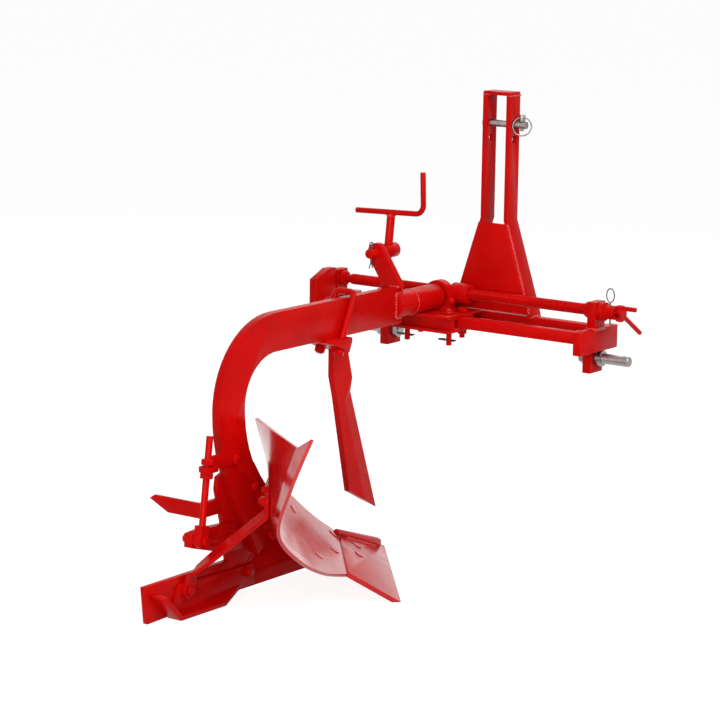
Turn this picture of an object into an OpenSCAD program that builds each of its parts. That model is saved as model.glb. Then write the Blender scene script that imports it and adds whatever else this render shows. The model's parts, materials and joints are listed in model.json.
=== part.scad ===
// Single furrow plough for a small tractor's three-point linkage, right-hand throw.
// Millimetres. X points right, Y forward (direction of travel), Z up.
// The origin is the middle of the axis through both lower link pins.

/* [Hitch] */
// Height of the lower link pins above the ground
hitch_height = 430; // [415:1:440]
// Distance between the shoulders of the two lower link plates
link_span = 550; // [520:1:620]
// Diameter of the lower link pins
link_pin_d = 22; // [18:0.5:25]
// Free length of a lower link pin outside its collar
link_pin_reach = 65; // [50:1:75]
// Diameter of the collar on a lower link pin
link_collar_d = 34; // [28:1:35]
// Width of the collar on a lower link pin
link_collar_w = 17; // [8:1:24]
// Width of the plates that hold the lower link pins
drop_w = 50; // [40:1:56]
// Height of the top link pin above the lower link pins
mast_rise = 478; // [440:1:520]
// Diameter of the top link pin
top_pin_d = 16; // [12:0.5:19]
// Gap between the two mast bars
mast_gap = 50; // [40:1:60]
// Thickness of a mast bar
mast_bar_t = 10; // [8:0.5:14]
// Depth of a mast bar along the travel direction
mast_bar_w = 40; // [34:1:50]
// Spread of the mast bars at their feet, outside to outside
mast_foot_spread = 206; // [180:1:230]
// Distance from the top link pin down to the spare pin hole
mast_hole_step = 32; // [28:1:50]

/* [Frame] */
// Side of the square cross bars
bar_s = 25; // [22:0.5:28]
// Distance between the centres of the two cross bars
bar_spacing = 105; // [100:1:112]
// Height of the cross bars' underside above the link pins
bar_rise = 40; // [38:1:48]
// Thickness of the end plates
plate_t = 20; // [14:1:24]
// Height of the right end plate
end_plate_h = 50; // [46:1:60]
// Distance from the hitch centre to the left end plate's inner face
frame_left = 383; // [360:1:420]
// Width of the screw's bearing plates
bearing_w = 40; // [36:1:50]
// Height of the screw's bearing plates above the end plates
bearing_h = 58; // [54:1:70]

/* [Cross screw] */
// Diameter of the cross screw's thread
screw_d = 24; // [20:1:26]
// Diameter of the screw's plain journals
journal_d = 18; // [14:1:19]
// Height of the screw's axis above the cross bars' top
screw_rise = 41; // [40:0.5:46]
// Diameter of the tommy bar in the screw's hub
tommy_d = 10; // [8:0.5:12]

/* [Carriage] */
// Sideways offset of the carriage from the hitch centre, to the left
carriage_offset = 92; // [60:1:110]
// Width of the carriage plates
carriage_w = 150; // [146:1:170]
// Thickness of the carriage plates
carriage_t = 6; // [5:0.5:8]
// Side of the square tubes between the carriage plates
spacer_s = 25; // [20:1:25]
// Diameter of the carriage pins and bolts
carriage_pin_d = 12; // [10:0.5:14]
// Diameter of the nut boss on the cross screw
boss_d = 44; // [38:1:45]
// Length of the nut boss
boss_len = 44; // [38:1:60]

/* [Beam] */
// Height of the beam's top edge above the ground
beam_top = 570; // [569:1:574]
// Depth of the beam plate
beam_depth = 80; // [74:1:84]
// Thickness of the beam plate
beam_t = 20; // [16:1:22]
// Distance of the beam's middle plane to the left of the hitch centre
beam_offset = 100; // [97:1:103]
// Distance from the link pins back to the beam's front end
beam_front = 205; // [200:1:215]
// Distance from the link pins back to the centre of the gooseneck
neck_back = 643; // [630:1:650]
// Inner radius of the gooseneck
neck_r = 100; // [90:1:105]
// Outer diameter of the swivel tube
tube_d = 55; // [52:0.5:56]
// Outer diameter of the pivot shaft inside the swivel tube
pivot_d = 40; // [36:1:44]
// Length of the swivel tube
tube_len = 160; // [150:1:170]

/* [Levelling crank] */
// Diameter of the crank's spindle
spindle_d = 18; // [14:1:20]
// Diameter of the crank's handle rod
crank_rod_d = 12; // [10:0.5:14]
// Width of the arm that carries the crank
crank_arm_w = 50; // [40:1:56]
// Height of the trunnion above the swivel axis
trunnion_rise = 108; // [104:1:114]
// Sideways distance of the trunnion from the swivel axis
trunnion_side = 50; // [44:1:56]
// Sweep radius of the crank's handle rod
crank_throw = 84; // [70:1:90]

/* [Coulter] */
// Distance from the link pins back to the coulter's middle
coulter_back = 399; // [392:1:405]
// Width of the coulter's shank
coulter_w = 45; // [38:1:48]
// Thickness of the coulter
coulter_t = 14; // [10:1:15]
// Height of the coulter's tip above the ground
coulter_tip = 98; // [85:1:130]

/* [Plough body] */
// Angle between the share's edge and the travel direction
share_angle = 40; // [38:1:42]
// Slope of the share
share_slope = 32; // [29:1:34]
// Length of the share's cutting edge
share_len = 451; // [430:1:465]
// Width of the share up its slope
share_w = 128; // [118:1:134]
// Thickness of the share
share_t = 10; // [8:0.5:12]
// Thickness of the mouldboard
board_t = 7; // [5:0.5:9]
// Height of the mouldboard's front corner above the ground
board_h = 362; // [345:1:375]
// Height of the mouldboard's tail above the ground
tail_h = 402; // [385:1:415]
// Distance from the landside plane out to the tail
tail_out = 325; // [305:1:335]
// Thickness of the landside
landside_t = 12; // [10:1:15]
// Height of the landside
landside_h = 76; // [66:1:80]
// Distance from the link pins back to the landside's heel
heel_back = 1018; // [1000:1:1035]
// Thickness of the frog plate
frog_t = 12; // [10:1:14]
// Reach of the depth skid to the left of the frog
skid_reach = 158; // [130:1:170]
// Height of the depth skid's underside above the ground
skid_height = 164; // [155:1:172]
// Diameter of the plough bolts
plough_bolt_d = 12; // [10:0.5:14]
// Diameter of the pitch adjuster's rod
rod_d = 14; // [12:0.5:16]

/* [Hidden] */

$fn = 48;
paint = [0.78, 0.06, 0.05];
steel = [0.72, 0.73, 0.74];
wire = [0.30, 0.28, 0.28];

slide_gap = 0.4;
shaft_gap = 0.05;
hole_gap = 0.4;
open_gap = 1.2;
wire_d = 3;
bend_less = 0.1;
eps = 0.01;

ground = -hitch_height;
bar_z = bar_rise;
bar_top = bar_z + bar_s;
screw_y = -24;
rear_bar_y = screw_y - bar_spacing / 2;
front_bar_y = screw_y + bar_spacing / 2;
screw_z = bar_top + screw_rise;
shoulder_x = link_span / 2;
drop_x = shoulder_x - plate_t;
drop_drop = 32;
end_len = bar_spacing + bar_s + 20;
end_z = bar_top + 3 - end_plate_h;
end_top = end_z + end_plate_h;
bearing_top = end_top + bearing_h;
mast_y = front_bar_y - bar_s / 2 - 8;
mast_top = mast_rise + 62;
mast_bend = mast_rise - 209;
gusset_t = 8;
link_nut_w = 16;
link_stud_d = link_pin_d - 2;

beam_z = ground + beam_top;
beam_y = -beam_front;
swivel_z = beam_z - beam_depth / 2;
neck_y = -neck_back;
neck_z = beam_z - beam_depth - neck_r;
leg_r = 250;
leg_turn = 30;
leg_out = leg_r + beam_depth;
tube_y0 = beam_y - 22;
tube_y1 = tube_y0 + tube_len;
carriage_x = -carriage_offset;
carriage_z0 = bar_z - slide_gap - carriage_t;
carriage_z1 = bar_top + slide_gap;
carriage_y0 = rear_bar_y - bar_s / 2 - slide_gap - spacer_s - 20;
top_plate_y1 = mast_y - gusset_t - 6;
bottom_plate_y1 = front_bar_y + bar_s / 2 + 8;
pin_y = rear_bar_y - bar_s / 2 - slide_gap - spacer_s / 2;
bolt_y = rear_bar_y + bar_s / 2 + slide_gap + spacer_s / 2;
pin_dx = carriage_w / 2 - 20;
lug_half = pivot_d / 2 + 14;
lug_t = 20;
lug_y1 = screw_y - screw_d / 2 - 3;
lug_y0 = lug_y1 - lug_t;
boss_x = carriage_x + 14;

trunnion_x = -beam_offset - trunnion_side;
trunnion_z = swivel_z + trunnion_rise;
spindle_y = -176;
spindle_lean = 5;
swivel_drop = 96;
lower_x = trunnion_x - swivel_drop * tan(spindle_lean);
lower_z = trunnion_z - swivel_drop;
crank_top = 84;
crank_rise = 90;
trunnion_d = 32;

land_x = -beam_offset - beam_t / 2;
shin_x = land_x + 15;
tip_x = land_x + 1;
tip_y = -229;
seat_gap = 0.4;
strap_bolt_y = -781;
strap_bolt_z = ground + 293;
pitch_y = -712;
pitch_z = ground + 225;
eye_y = -892;
eye_z = ground + 148;
strap_y = -874;
strap_z = ground + 290;
rod_x = land_x + beam_t + 10;

module block(x0, x1, y0, y1, z0, z1) {
  translate([min(x0, x1), min(y0, y1), min(z0, z1)]) cube([abs(x1 - x0), abs(y1 - y0), abs(z1 - z0)]);
}

module rod_x_axis(d, len) { rotate([0, 90, 0]) cylinder(d = d, h = len); }
module rod_y_axis(d, len) { rotate([-90, 0, 0]) cylinder(d = d, h = len); }
module hex(af, h) { cylinder(d = af / cos(30), h = h, $fn = 6); }

// An outline in the Y-Z plane, given as [y, z] points, made t thick from x upwards
module side_sheet(x, t, points) {
  translate([x, 0, 0]) rotate([90, 0, 90]) linear_extrude(height = t) polygon(points);
}

// An outline in the X-Z plane, given as [x, z] points, made t thick from y forwards
module front_sheet(y, t, points) {
  translate([0, y + t, 0]) rotate([90, 0, 0]) linear_extrude(height = t) polygon(points);
}

module cross_bar(y) {
  block(-frame_left, shoulder_x, y - bar_s / 2, y + bar_s / 2, bar_z, bar_top);
}

module front_cross_bar() { color(paint) cross_bar(front_bar_y); }
module rear_cross_bar() { color(paint) cross_bar(rear_bar_y); }

module right_end_plate() {
  color(paint) block(shoulder_x, shoulder_x + plate_t,
    screw_y - end_len / 2, screw_y + end_len / 2, end_z, end_top);
}

module left_end_plate() {
  y0 = screw_y - end_len / 2;
  y1 = screw_y + end_len / 2;
  tower_y = screw_y - bearing_w / 2 - 4;
  color(paint) side_sheet(-frame_left - plate_t, plate_t, [
    [y0 - 22, end_z], [y1, end_z], [y1, end_top], [tower_y, end_top], [tower_y, bearing_top + 6],
    [tower_y - 26, bearing_top + 6], [y0 - 22, bearing_top - 14]]);
}

module bearing_plate(x) {
  color(paint) difference() {
    block(x, x + plate_t, screw_y - bearing_w / 2, screw_y + bearing_w / 2, end_top, bearing_top);
    translate([x - 1, screw_y, screw_z]) rod_x_axis(journal_d + 2 * shaft_gap, plate_t + 2);
  }
}

module right_bearing_plate() { bearing_plate(shoulder_x); }
module left_bearing_plate() { bearing_plate(-frame_left - plate_t); }

module link_hole(x) {
  translate([x - 1, 0, 0]) rod_x_axis(link_stud_d + 2 * hole_gap, plate_t + 2);
}

module right_drop_plate() {
  color(paint) difference() {
    block(drop_x, shoulder_x, -drop_w / 2, drop_w / 2, -drop_drop, bar_z);
    link_hole(drop_x);
  }
}

module left_drop_plate() {
  top_y0 = rear_bar_y - bar_s / 2;
  top_y1 = front_bar_y + bar_s / 2;
  color(paint) difference() {
    side_sheet(-shoulder_x, plate_t, [
      [-drop_w / 2, -drop_drop], [drop_w / 2, -drop_drop], [drop_w / 2, bar_z - 22], [top_y1, bar_z - 14],
      [top_y1, bar_z], [top_y0, bar_z], [top_y0, bar_z - 14], [-drop_w / 2, bar_z - 22]]);
    link_hole(-shoulder_x);
  }
}

module link_pin() {
  pin_end = shoulder_x + link_collar_w + link_pin_reach;
  chamfer = 2;
  difference() {
    union() {
      translate([shoulder_x, 0, 0]) rod_x_axis(link_collar_d, link_collar_w);
      translate([shoulder_x, 0, 0]) rod_x_axis(link_pin_d, pin_end - shoulder_x - chamfer);
      translate([pin_end - chamfer, 0, 0]) rotate([0, 90, 0])
        cylinder(d1 = link_pin_d, d2 = link_pin_d - 2 * chamfer, h = chamfer);
      translate([drop_x - link_nut_w - 4, 0, 0])
        rod_x_axis(link_stud_d, plate_t + link_nut_w + 4 + eps);
    }
    translate([pin_end - 12, 0, -link_pin_d]) cylinder(d = 8, h = 2 * link_pin_d);
  }
}

module link_nut() {
  translate([drop_x - link_nut_w, 0, 0]) rotate([0, 90, 0]) difference() {
    hex(30, link_nut_w);
    translate([0, 0, -1]) cylinder(d = link_stud_d + 0.1, h = link_nut_w + 2);
  }
}

module both_sides() {
  children();
  mirror([1, 0, 0]) children();
}

module lower_link_pins() { color(steel) both_sides() link_pin(); }
module lower_link_nuts() { color(steel) both_sides() link_nut(); }

module mast_bar() {
  inner = mast_gap / 2;
  outer = inner + mast_bar_t;
  foot = mast_foot_spread / 2;
  difference() {
    front_sheet(mast_y, mast_bar_w, [
      [inner, mast_top], [inner, mast_bend], [foot - mast_bar_t - 1, bar_top],
      [foot, bar_top], [outer, mast_bend + 2], [outer, mast_top]]);
    for (z = [mast_rise, mast_rise - mast_hole_step])
      translate([0, mast_y + mast_bar_w / 2, z])
        rod_x_axis(top_pin_d + (z == mast_rise ? 2 * shaft_gap : 0.5), 2 * outer);
  }
}

module mast_right_bar() { color(paint) mast_bar(); }
module mast_left_bar() { color(paint) mirror([1, 0, 0]) mast_bar(); }

module mast_top_strap() {
  outer = mast_gap / 2 + mast_bar_t;
  color(paint) block(-outer, outer, mast_y, mast_y + mast_bar_w, mast_top, mast_top + 8);
}

module mast_gusset() {
  top_w = mast_gap / 2 + mast_bar_t;
  low_w = mast_foot_spread / 2 - 6;
  color(paint) front_sheet(mast_y - gusset_t, gusset_t, [
    [-low_w, bar_top + 6], [low_w, bar_top + 6], [top_w, mast_bend - 6], [-top_w, mast_bend - 6]]);
}

pin_head_t = 8;
pin_left = -mast_gap / 2 - mast_bar_t - 1;
pin_right = mast_gap / 2 + mast_bar_t + 30;
lynch_x = mast_gap / 2 + mast_bar_t + 19;
mast_axis_y = mast_y + mast_bar_w / 2;
lynch_d = 8;

module top_link_pin() {
  color(steel) translate([0, mast_axis_y, mast_rise]) difference() {
    union() {
      translate([pin_left, 0, 0]) rod_x_axis(top_pin_d, pin_right - pin_left);
      translate([pin_left, 0, 0]) rotate([0, -90, 0])
        rotate_extrude() polygon([[0, 0], [13, 0], [13, 4], [9, pin_head_t], [0, pin_head_t]]);
    }
    translate([lynch_x, 0, -top_pin_d]) cylinder(d = lynch_d + 2 * hole_gap, h = 2 * top_pin_d);
  }
}

lynch_head = 9;
ring_r = 20;
ring_wire = 3.2;
ring_turn = 36;
ring_z = mast_rise + top_pin_d / 2 + lynch_head;

module lynch_pin() {
  color(steel) translate([lynch_x, mast_axis_y, 0]) difference() {
    union() {
      translate([0, 0, mast_rise - 13]) cylinder(d = lynch_d, h = 13 + top_pin_d / 2 + 1);
      translate([0, 0, mast_rise + top_pin_d / 2 + 0.4]) cylinder(d = 14, h = lynch_head + 5);
    }
    translate([0, 0, ring_z]) rotate([0, 0, ring_turn]) translate([-20, 0, 0]) rod_x_axis(ring_wire + 3.4, 40);
  }
}

// The wire ring hangs from the lynch pin's head, round the end of the top link pin
module lynch_ring() {
  color(steel) translate([lynch_x, mast_axis_y, ring_z - ring_r]) rotate([0, 0, ring_turn]) rotate([90, 0, 0])
    rotate_extrude() translate([ring_r, 0]) circle(d = ring_wire, $fn = 24);
}

screw_left = -frame_left - plate_t - 14;
screw_right = shoulder_x + plate_t + 14;
collar_w = 12;
hub_len = 44;
hub_d = 30;

module cross_screw() {
  thread_x0 = -frame_left + 26;
  thread_x1 = shoulder_x - collar_w - 0.3;
  color(paint) difference() {
    translate([0, screw_y, screw_z]) union() {
      translate([screw_left, 0, 0]) rod_x_axis(journal_d, screw_right + hub_len - 13.5 - screw_left);
      translate([thread_x0, 0, 0]) rod_x_axis(screw_d, thread_x1 - thread_x0);
    }
    hub_pin_place() translate([0, 0, -30]) cylinder(d = 5, h = 60);
  }
}

module ring_x(x, d, w) {
  translate([x, screw_y, screw_z]) difference() {
    rod_x_axis(d, w);
    translate([-1, 0, 0]) rod_x_axis(journal_d + 0.02, w + 2);
  }
}

module screw_collars() {
  color(paint) {
    ring_x(shoulder_x + plate_t + 0.3, 40, 13.5);
    ring_x(shoulder_x - collar_w, 34, collar_w - 0.3);
    ring_x(-frame_left + 0.3, 32, collar_w);
    ring_x(-frame_left - plate_t - 0.3 - 10, 32, 10);
  }
}

module screw_hub() {
  color(paint) difference() {
    translate([screw_right, screw_y, screw_z]) rotate([0, 90, 0]) rotate_extrude() polygon([
      [0, 0], [hub_d / 2, 0], [hub_d / 2, hub_len - 16], [hub_d / 2 + 3, hub_len - 13],
      [hub_d / 2 + 3, hub_len - 4], [hub_d / 2 - 3, hub_len], [0, hub_len]]);
    translate([screw_right - 1, screw_y, screw_z]) rod_x_axis(journal_d + 0.02, hub_len - 12.4);
    tommy_place() translate([0, 0, -30]) cylinder(d = tommy_d + 0.1, h = 60);
    hub_pin_place() translate([0, 0, -30]) cylinder(d = 5, h = 60);
  }
}

module tommy_place() { translate([screw_right + hub_len - 7.5, screw_y, screw_z]) rotate([-82, 0, 0]) children(); }
module hub_pin_place() { translate([screw_right + 10, screw_y, screw_z]) rotate([0, 0, 0]) children(); }

module tommy_bar() {
  color(paint) tommy_place() {
    translate([0, 0, -26]) cylinder(d = tommy_d, h = 112);
    translate([0, 0, -26]) sphere(d = tommy_d);
    translate([0, 0, -26]) rotate([0, 90, 0]) cylinder(d = tommy_d, h = 34);
  }
}

// A split pin along Z: two half-round legs, an eye above, and legs bent apart below
module split_pin(d, grip, leg) {
  eye_r = 6;
  union() {
    translate([0, 0, -grip / 2 - leg * 0.3]) cylinder(d = d, h = grip + leg * 0.3, $fn = 14);
    translate([0, 0, grip / 2 + eye_r]) rotate([90, 0, 90]) rotate_extrude($fn = 32) translate([eye_r, 0]) circle(d = d * 0.7, $fn = 14);
    for (side = [-1, 1]) translate([0, 0, -grip / 2 - leg * 0.3]) rotate([side * 24, 0, 0])
      mirror([0, 0, 1]) cylinder(d = d * 0.62, h = leg, $fn = 14);
  }
}

module screw_split_pins() {
  color(wire) hub_pin_place() split_pin(4, hub_d + 2, 14);
}

carriage_x0 = carriage_x - carriage_w / 2;
carriage_x1 = carriage_x + carriage_w / 2;

module carriage_holes() {
  for (x = [carriage_x - pin_dx, carriage_x + pin_dx]) for (y = [pin_y, bolt_y])
    translate([x, y, carriage_z0 - 1])
      cylinder(d = carriage_pin_d + 2 * hole_gap, h = carriage_z1 - carriage_z0 + carriage_t + 2);
}

module carriage_top_plate() {
  color(paint) difference() {
    block(carriage_x0, carriage_x1, carriage_y0, top_plate_y1, carriage_z1, carriage_z1 + carriage_t);
    carriage_holes();
  }
}

module carriage_bottom_plate() {
  corner = 26;
  color(paint) difference() {
    translate([0, 0, carriage_z0]) linear_extrude(height = carriage_t) polygon([
      [carriage_x0, carriage_y0], [carriage_x1, carriage_y0], [carriage_x1, bottom_plate_y1 - corner],
      [carriage_x1 - corner, bottom_plate_y1], [carriage_x0 + corner, bottom_plate_y1],
      [carriage_x0, bottom_plate_y1 - corner]]);
    carriage_holes();
  }
}

module square_tube(y) {
  wall = 4;
  height = carriage_z1 - carriage_z0 - carriage_t;
  translate([0, y, carriage_z0 + carriage_t]) difference() {
    block(carriage_x0, carriage_x1, -spacer_s / 2, spacer_s / 2, 0, height);
    block(carriage_x0 - 1, carriage_x1 + 1, wall - spacer_s / 2, spacer_s / 2 - wall, wall, height - wall);
  }
}

module carriage_spacers() {
  color(paint) difference() {
    union() {
      square_tube(pin_y);
      square_tube(bolt_y);
    }
    carriage_holes();
  }
}

module carriage_pins() {
  color(paint) for (side = [-1, 1]) translate([carriage_x + side * pin_dx, pin_y, 0]) difference() {
    union() {
      translate([0, 0, carriage_z0 - 30]) cylinder(d = carriage_pin_d, h = carriage_z1 + carriage_t - carriage_z0 + 30 + eps);
      translate([0, 0, carriage_z1 + carriage_t]) cylinder(d = carriage_pin_d + 8, h = 6);
    }
    translate([-20, 0, carriage_z0 - 20]) rod_x_axis(4, 40);
  }
}

// A spring clip: a straight leg through the pin, a round coil, and a second leg beside the pin
module spring_clip() {
  translate([-24.3, 0, 0]) rod_x_axis(wire_d, 38.3);
  translate([-24, 5, 0]) rotate([0, 0, 90]) rotate_extrude(angle = 180) translate([5, 0]) circle(d = wire_d - bend_less);
  translate([-24.3, 10, 0]) rod_x_axis(wire_d, 36.3);
}

module carriage_clips() {
  color(wire) for (side = [-1, 1])
    translate([carriage_x + side * pin_dx, pin_y, carriage_z0 - 20]) spring_clip();
}

module carriage_bolts() {
  color(paint) for (side = [-1, 1]) translate([carriage_x + side * pin_dx, bolt_y, 0]) {
    translate([0, 0, carriage_z0 - 20]) cylinder(d = carriage_pin_d, h = carriage_z1 + carriage_t - carriage_z0 + 20 + eps);
    translate([0, 0, carriage_z1 + carriage_t]) hex(19, 8);
    translate([0, 0, carriage_z0 - 11]) hex(19, 11);
  }
}

module nut_boss() {
  color(paint) translate([boss_x, screw_y, screw_z]) difference() {
    rod_x_axis(boss_d, boss_len);
    translate([-1, 0, 0]) rod_x_axis(screw_d + 2 * shaft_gap, boss_len + 2);
  }
}

module pivot_lug() {
  x = -beam_offset;
  z0 = carriage_z1 + carriage_t;
  color(paint) difference() {
    union() {
      block(x - lug_half, x + lug_half, lug_y0, lug_y1, z0, swivel_z);
      translate([x, lug_y0, swivel_z]) rod_y_axis(2 * lug_half, lug_t);
    }
    block(x - 60, x + 60, lug_y0 - 1, lug_y1 + 1, z0 - 40, z0);
    translate([x, lug_y0 - 1, swivel_z]) rod_y_axis(pivot_d + 0.1, lug_t + 2);
    translate([boss_x - 1, screw_y, screw_z]) rod_x_axis(boss_d + 0.2, boss_len + 2);
    pivot_bolt_place() rod_x_axis(10 + 2 * hole_gap, 2 * lug_half + 60);
  }
}

module pivot_bolt_place() {
  translate([-beam_offset - lug_half, (lug_y0 + lug_y1) / 2 - 3, swivel_z - 9]) children();
}

module pivot_shaft() {
  color(steel) difference() {
    translate([-beam_offset, tube_y1 - 120, swivel_z]) rod_y_axis(pivot_d, lug_y1 - 1 - tube_y1 + 120);
    pivot_bolt_place() rod_x_axis(10 + 2 * hole_gap, 2 * pivot_d + 60);
  }
}

module pivot_bolt() {
  len = 2 * lug_half;
  color(paint) pivot_bolt_place() {
    translate([-9, 0, 0]) rod_x_axis(10, len + 9 + eps);
    translate([len, 0, 0]) rotate([0, 90, 0]) rotate_extrude() polygon([[0, 0], [9, 0], [9, 3], [6, 7], [0, 8]]);
    translate([-8, 0, 0]) rotate([0, 90, 0]) hex(17, 8);
  }
}

module lean() {
  translate([lower_x, spindle_y, lower_z]) rotate([0, spindle_lean, 0]) children();
}

swivel_pin_d = 14;
swivel_block_d = 30;
lower_lug_t = 10;
lower_lug_y = carriage_y0;

module lower_swivel_lug() {
  z0 = carriage_z1 + carriage_t;
  r = swivel_pin_d / 2 + 9;
  color(paint) difference() {
    union() {
      block(lower_x - r - 12, lower_x + r, lower_lug_y, lower_lug_y + lower_lug_t, z0, lower_z);
      translate([lower_x, lower_lug_y, lower_z]) rod_y_axis(2 * r, lower_lug_t);
      block(lower_x - r - 12, lower_x - r - 4, lower_lug_y, lower_lug_y + 22, z0, lower_z + 24);
    }
    translate([lower_x, lower_lug_y - 1, lower_z]) rod_y_axis(swivel_pin_d + 2 * shaft_gap, lower_lug_t + 2);
  }
}

module lower_swivel() {
  y0 = spindle_y - 15;
  y1 = lower_lug_y - 0.4;
  color(paint) difference() {
    union() {
      translate([lower_x, y0, lower_z]) rod_y_axis(swivel_block_d, 34);
      translate([lower_x, y0, lower_z]) rod_y_axis(swivel_pin_d, y1 + lower_lug_t + 6 - y0);
      translate([lower_x, y1 + lower_lug_t + 0.8, lower_z]) rod_y_axis(swivel_pin_d + 8, 5);
    }
    lean() translate([0, 0, -10]) cylinder(d = spindle_d - 6 + 2 * shaft_gap, h = 60);
    lean() translate([0, 0, swivel_block_d / 2 - 3]) cylinder(d = spindle_d + 2 * hole_gap, h = 20);
  }
}

crank_z = swivel_drop / cos(spindle_lean) + crank_top;
handle_rise = 7;

module crank_spindle() {
  seat = swivel_block_d / 2 - 3 + 0.3;
  color(paint) lean() difference() {
    union() {
      translate([0, 0, -8]) cylinder(d = spindle_d - 6, h = seat + 9);
      translate([0, 0, seat]) cylinder(d = spindle_d, h = crank_z - seat - 1);
    }
    translate([0, 0, crank_z]) rotate([0, -handle_rise, 0]) translate([-40, 0, 0]) rod_x_axis(crank_rod_d + 0.04, 80);
  }
}

module crank_handle() {
  bend_r = 20;
  color(paint) lean() translate([0, 0, crank_z]) rotate([0, -handle_rise, 0]) {
    translate([-crank_throw - 8, 0, 0]) rod_x_axis(crank_rod_d, 2 * crank_throw + 8.6 - bend_r);
    translate([crank_throw - bend_r, 0, bend_r]) rotate([90, 0, 0]) rotate([0, 0, -90])
      rotate_extrude(angle = 90) translate([bend_r, 0]) circle(d = crank_rod_d - bend_less);
    translate([crank_throw, 0, bend_r - 0.6]) cylinder(d = crank_rod_d, h = crank_rise - bend_r);
  }
}

arm_y0 = beam_y - 17;
arm_t = 14;
block_len = 56;
trunnion_pin_d = 20;

module trunnion_block() {
  y0 = arm_y0 + arm_t + 0.4;
  color(paint) difference() {
    union() {
      translate([trunnion_x, y0, trunnion_z]) rod_y_axis(trunnion_d, block_len);
      translate([trunnion_x, arm_y0 - 24, trunnion_z]) rod_y_axis(trunnion_pin_d, y0 - arm_y0 + 25);
    }
    lean() translate([0, 0, 40]) cylinder(d = spindle_d + 2 * open_gap, h = 120);
    translate([trunnion_x, arm_y0 - 16, trunnion_z - 20]) cylinder(d = 5, h = 40);
  }
}

module trunnion_split_pin() {
  color(wire) translate([trunnion_x, arm_y0 - 16, trunnion_z]) split_pin(4, trunnion_pin_d + 4, 16);
}

module crank_arm() {
  top = [trunnion_x, trunnion_z];
  foot = [-beam_offset - 6, beam_z + crank_arm_w / 2];
  color(paint) difference() {
    union() {
      translate([0, arm_y0 + arm_t, 0]) rotate([90, 0, 0]) linear_extrude(height = arm_t) hull() {
        translate(top) circle(d = trunnion_pin_d + 22);
        translate([-beam_offset - crank_arm_w / 2 - 6, beam_z]) square([crank_arm_w, 2]);
      }
    }
    translate([trunnion_x, arm_y0 - 1, trunnion_z]) rod_y_axis(trunnion_pin_d + 2 * shaft_gap, arm_t + 2);
  }
}

function arc(cy, cz, r, a0, a1, n) =
  [for (i = [0:n]) [cy + r * cos(a0 + (a1 - a0) * i / n), cz + r * sin(a0 + (a1 - a0) * i / n)]];

leg_cy = neck_y - neck_r + leg_r;
leg_end = 96;

function leg_point(r, s) = [
  leg_cy - r * cos(leg_turn) + s * sin(leg_turn), neck_z - r * sin(leg_turn) - s * cos(leg_turn)];

module beam() {
  outer_r = neck_r + beam_depth;
  color(paint) difference() {
    side_sheet(land_x, beam_t, concat(
      [[beam_y, beam_z - beam_depth], [beam_y, beam_z], [neck_y, beam_z]],
      arc(neck_y, neck_z, outer_r, 96, 174, 12),
      arc(leg_cy, neck_z, leg_out, 180, 180 + leg_turn, 6),
      [leg_point(leg_out, leg_end + 72)],
      [leg_point(leg_r - 26, leg_end + 62)],
      arc(leg_cy, neck_z, leg_r, 180 + leg_turn, 180, 6),
      arc(neck_y, neck_z, neck_r, 174, 96, 10),
      [[neck_y, beam_z - beam_depth]]));
    side_hole(pitch_y, pitch_z, plough_bolt_d + 2 * shaft_gap);
    side_hole(strap_bolt_y, strap_bolt_z, plough_bolt_d + 2 * hole_gap);
    pitch_slot();
  }
}

// The slot for the clamping bolt follows an arc round the pitch bolt
module pitch_slot() {
  for (k = [-3:3]) translate([0, pitch_y, pitch_z]) rotate([k * 1.2, 0, 0])
    translate([land_x - 5, mid_bolt_y - pitch_y, mid_bolt_z - pitch_z]) rod_x_axis(plough_bolt_d + 2, beam_t + 10);
}

module side_hole(y, z, d) {
  translate([land_x - 60, y, z]) rod_x_axis(d, 140);
}

module swivel_tube() {
  color(paint) difference() {
    translate([-beam_offset, tube_y0, swivel_z]) rod_y_axis(tube_d, tube_len);
    translate([-beam_offset, tube_y1 - 122, swivel_z]) rod_y_axis(pivot_d + 2 * shaft_gap, 124);
    block(land_x, land_x + beam_t, tube_y0 - 1, beam_y, swivel_z - tube_d, swivel_z + tube_d);
  }
}

clamp_gap = 0.3;
shank_y0 = -coulter_back - coulter_w / 2;
shank_y1 = shank_y0 + coulter_w;
coulter_x = land_x - clamp_gap - coulter_t;
ubolt_d = 14;
ubolt_lean = 24;
ubolt_y = -410;
ubolt_x0 = coulter_x - clamp_gap - ubolt_d / 2;
ubolt_x1 = land_x + beam_t + 0.1 + ubolt_d / 2;
ubolt_mid = (ubolt_x0 + ubolt_x1) / 2;
ubolt_r = (ubolt_x1 - ubolt_x0) / 2;
clamp_low = 70;

// The U-bolt leans forward; z runs up its legs from the middle of the beam's side
module ubolt_place() {
  translate([ubolt_mid, ubolt_y, beam_z - beam_depth / 2]) rotate([-ubolt_lean, 0, 0]) children();
}

ubolt_top = beam_depth / 2 / cos(ubolt_lean) + 4 + ubolt_d / 2 - 12;
bend_in = 12;

// The points of a quarter bend in the X-Z plane, from angle a to angle b round its centre
function bend(cx, cz, r, a, b) = [for (k = [0:5]) [cx + r * cos(a + (b - a) * k / 5), 0, cz + r * sin(a + (b - a) * k / 5)]];

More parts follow.
